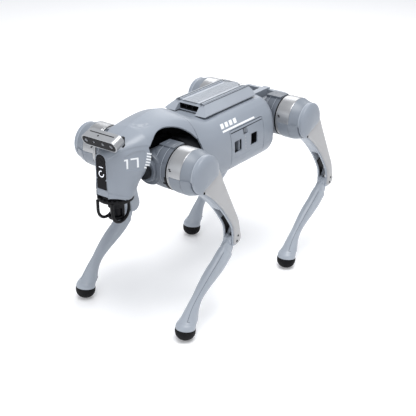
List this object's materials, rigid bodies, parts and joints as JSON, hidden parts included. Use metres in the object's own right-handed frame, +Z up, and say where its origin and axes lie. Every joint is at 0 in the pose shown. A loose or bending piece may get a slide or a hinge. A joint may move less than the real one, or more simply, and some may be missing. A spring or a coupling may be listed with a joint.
{
  "type": "quadruped robot dog",
  "caption": "Four-legged walking robot with a trunk shell, sensor head, payload deck, side battery and legs with linked knees, standing with knees to the rear.",
  "frame": {"origin": "on the ground, at the middle of the standing robot's bounding box", "axes": "+X towards the head, +Y to the robot's left, +Z up"},
  "size_m": [0.6475, 0.338, 0.4499],
  "materials": {
    "shell_paint": "satin paint over a moulded shell, light blue-grey",
    "frame_dark": "dark anodised",
    "deck_metal": "bead-blasted, light blue-grey anodised",
    "black_plastic": "moulded, fine texture",
    "guard_black": "satin black powder coat",
    "gloss_black": "polished, smoked",
    "light_white": "lit diffuser",
    "camera_silver": "bead-blasted, clear anodised",
    "screw_black": "black oxide",
    "board_green": "solder resist",
    "button_grey": "moulded",
    "housing_blue": "satin painted casting, darker blue-grey",
    "ring_silver": "satin turned",
    "thigh_grey": "satin painted casting, mid blue-grey",
    "cover_grey": "satin, warm light grey",
    "steel": "dark phosphated",
    "shank_blue": "satin paint, blue-grey",
    "foot_rubber": "matt, moulded"
  },
  "bodies": {
    "trunk": {"chassis": "frame_dark", "head_shell": "shell_paint", "body_shell": "shell_paint", "belly_cover": "frame_dark", "front_cover": "frame_dark", "rear_cover": "shell_paint", "payload_deck": "deck_metal", "deck_vents": "black_plastic", "face_panel": "gloss_black", "face_lights": "light_white", "depth_camera": "camera_silver", "depth_camera_window": "gloss_black", "camera_bracket": "frame_dark", "lidar_base": "black_plastic", "lidar_guard": "guard_black", "hip_motors": "frame_dark", "belly_pads": "black_plastic", "body_screws": "screw_black", "control_board": "board_green"},
    "battery": {"battery_pack": "shell_paint"},
    "front_latch": {"front_latch": "shell_paint"},
    "rear_latch": {"rear_latch": "shell_paint"},
    "power_button": {"power_button": "button_grey"},
    "lidar_rotor": {"lidar_rotor": "gloss_black"},
    "fl_hip": {"fl_hip_housing": "housing_blue"},
    "fl_thigh": {"fl_calf_motor": "ring_silver", "fl_thigh_frame": "thigh_grey", "fl_thigh_cover": "cover_grey", "fl_dome_cap": "shell_paint"},
    "fl_crank": {"fl_knee_crank": "steel"},
    "fl_rod": {"fl_knee_rod": "steel"},
    "fl_shank": {"fl_shank": "shank_blue", "fl_foot": "foot_rubber"},
    "fr_hip": {"fr_hip_housing": "housing_blue"},
    "fr_thigh": {"fr_calf_motor": "ring_silver", "fr_thigh_frame": "thigh_grey", "fr_thigh_cover": "cover_grey", "fr_dome_cap": "shell_paint"},
    "fr_crank": {"fr_knee_crank": "steel"},
    "fr_rod": {"fr_knee_rod": "steel"},
    "fr_shank": {"fr_shank": "shank_blue", "fr_foot": "foot_rubber"},
    "rl_hip": {"rl_hip_housing": "housing_blue"},
    "rl_thigh": {"rl_calf_motor": "ring_silver", "rl_thigh_frame": "thigh_grey", "rl_thigh_cover": "cover_grey", "rl_dome_cap": "shell_paint"},
    "rl_crank": {"rl_knee_crank": "steel"},
    "rl_rod": {"rl_knee_rod": "steel"},
    "rl_shank": {"rl_shank": "shank_blue", "rl_foot": "foot_rubber"},
    "rr_hip": {"rr_hip_housing": "housing_blue"},
    "rr_thigh": {"rr_calf_motor": "ring_silver", "rr_thigh_frame": "thigh_grey", "rr_thigh_cover": "cover_grey", "rr_dome_cap": "shell_paint"},
    "rr_crank": {"rr_knee_crank": "steel"},
    "rr_rod": {"rr_knee_rod": "steel"},
    "rr_shank": {"rr_shank": "shank_blue", "rr_foot": "foot_rubber"}
  },
  "joints": [
    {"name": "fl_abduction", "type": "hinge", "parent": "trunk", "child": "fl_hip", "pos_m": [0.1889, 0.0465, 0.35653], "axis": [1, 0, 0], "range_deg": [-40, 48]},
    {"name": "fl_thigh_swing", "type": "hinge", "parent": "fl_hip", "child": "fl_thigh", "pos_m": [0.1889, 0.142, 0.35653], "axis": [0, 1, 0], "range_deg": [-118, 75]},
    {"name": "fl_knee", "type": "hinge", "parent": "fl_thigh", "child": "fl_shank", "pos_m": [0.08661, 0.142, 0.1697], "axis": [0, 1, 0], "range_deg": [-81, 26.8]},
    {"name": "fl_crank_turn", "type": "hinge", "parent": "fl_thigh", "child": "fl_crank", "pos_m": [0.1889, 0.142, 0.35653], "axis": [0, 1, 0], "range_deg": [-81, 26.8]},
    {"name": "fl_rod_swing", "type": "hinge", "parent": "fl_shank", "child": "fl_rod", "pos_m": [0.07196, 0.142, 0.19117], "axis": [0, 1, 0], "range_deg": [-26.8, 81]},
    {"name": "fr_abduction", "type": "hinge", "parent": "trunk", "child": "fr_hip", "pos_m": [0.1889, -0.0465, 0.35653], "axis": [1, 0, 0], "range_deg": [-48, 40]},
    {"name": "fr_thigh_swing", "type": "hinge", "parent": "fr_hip", "child": "fr_thigh", "pos_m": [0.1889, -0.142, 0.35653], "axis": [0, 1, 0], "range_deg": [-118, 75]},
    {"name": "fr_knee", "type": "hinge", "parent": "fr_thigh", "child": "fr_shank", "pos_m": [0.08661, -0.142, 0.1697], "axis": [0, 1, 0], "range_deg": [-81, 26.8]},
    {"name": "fr_crank_turn", "type": "hinge", "parent": "fr_thigh", "child": "fr_crank", "pos_m": [0.1889, -0.142, 0.35653], "axis": [0, 1, 0], "range_deg": [-81, 26.8]},
    {"name": "fr_rod_swing", "type": "hinge", "parent": "fr_shank", "child": "fr_rod", "pos_m": [0.07196, -0.142, 0.19117], "axis": [0, 1, 0], "range_deg": [-26.8, 81]},
    {"name": "rl_abduction", "type": "hinge", "parent": "trunk", "child": "rl_hip", "pos_m": [-0.1979, 0.0465, 0.35653], "axis": [1, 0, 0], "range_deg": [-40, 48]},
    {"name": "rl_thigh_swing", "type": "hinge", "parent": "rl_hip", "child": "rl_thigh", "pos_m": [-0.1979, 0.142, 0.35653], "axis": [0, 1, 0], "range_deg": [-40, 150]},
    {"name": "rl_knee", "type": "hinge", "parent": "rl_thigh", "child": "rl_shank", "pos_m": [-0.30019, 0.142, 0.1697], "axis": [0, 1, 0], "range_deg": [-81, 26.8]},
    {"name": "rl_crank_turn", "type": "hinge", "parent": "rl_thigh", "child": "rl_crank", "pos_m": [-0.1979, 0.142, 0.35653], "axis": [0, 1, 0], "range_deg": [-81, 26.8]},
    {"name": "rl_rod_swing", "type": "hinge", "parent": "rl_shank", "child": "rl_rod", "pos_m": [-0.31484, 0.142, 0.19117], "axis": [0, 1, 0], "range_deg": [-26.8, 81]},
    {"name": "rr_abduction", "type": "hinge", "parent": "trunk", "child": "rr_hip", "pos_m": [-0.1979, -0.0465, 0.35653], "axis": [1, 0, 0], "range_deg": [-48, 40]},
    {"name": "rr_thigh_swing", "type": "hinge", "parent": "rr_hip", "child": "rr_thigh", "pos_m": [-0.1979, -0.142, 0.35653], "axis": [0, 1, 0], "range_deg": [-40, 150]},
    {"name": "rr_knee", "type": "hinge", "parent": "rr_thigh", "child": "rr_shank", "pos_m": [-0.30019, -0.142, 0.1697], "axis": [0, 1, 0], "range_deg": [-81, 26.8]},
    {"name": "rr_crank_turn", "type": "hinge", "parent": "rr_thigh", "child": "rr_crank", "pos_m": [-0.1979, -0.142, 0.35653], "axis": [0, 1, 0], "range_deg": [-81, 26.8]},
    {"name": "rr_rod_swing", "type": "hinge", "parent": "rr_shank", "child": "rr_rod", "pos_m": [-0.31484, -0.142, 0.19117], "axis": [0, 1, 0], "range_deg": [-26.8, 81]},
    {"name": "battery_slide", "type": "slide", "parent": "trunk", "child": "battery", "axis": [0, 1, 0], "range_m": [0, 0.16]},
    {"name": "front_latch_slide", "type": "slide", "parent": "battery", "child": "front_latch", "axis": [-1, 0, 0], "range_m": [0, 0.003], "stiffness_N_per_m": 400},
    {"name": "rear_latch_slide", "type": "slide", "parent": "battery", "child": "rear_latch", "axis": [1, 0, 0], "range_m": [0, 0.003], "stiffness_N_per_m": 400},
    {"name": "power_button_press", "type": "slide", "parent": "battery", "child": "power_button", "axis": [0, -1, 0], "range_m": [0, 0.0015], "stiffness_N_per_m": 600},
    {"name": "lidar_spin", "type": "hinge", "parent": "trunk", "child": "lidar_rotor", "pos_m": [0.2795, 0, 0.272], "axis": [0, 0, 1], "continuous": true}
  ],
  "couplings": [
    {"joint": "fl_crank_turn", "follows": "fl_knee", "ratio": 1},
    {"joint": "fl_rod_swing", "follows": "fl_knee", "ratio": -1},
    {"joint": "fr_crank_turn", "follows": "fr_knee", "ratio": 1},
    {"joint": "fr_rod_swing", "follows": "fr_knee", "ratio": -1},
    {"joint": "rl_crank_turn", "follows": "rl_knee", "ratio": 1},
    {"joint": "rl_rod_swing", "follows": "rl_knee", "ratio": -1},
    {"joint": "rr_crank_turn", "follows": "rr_knee", "ratio": 1},
    {"joint": "rr_rod_swing", "follows": "rr_knee", "ratio": -1}
  ]
}
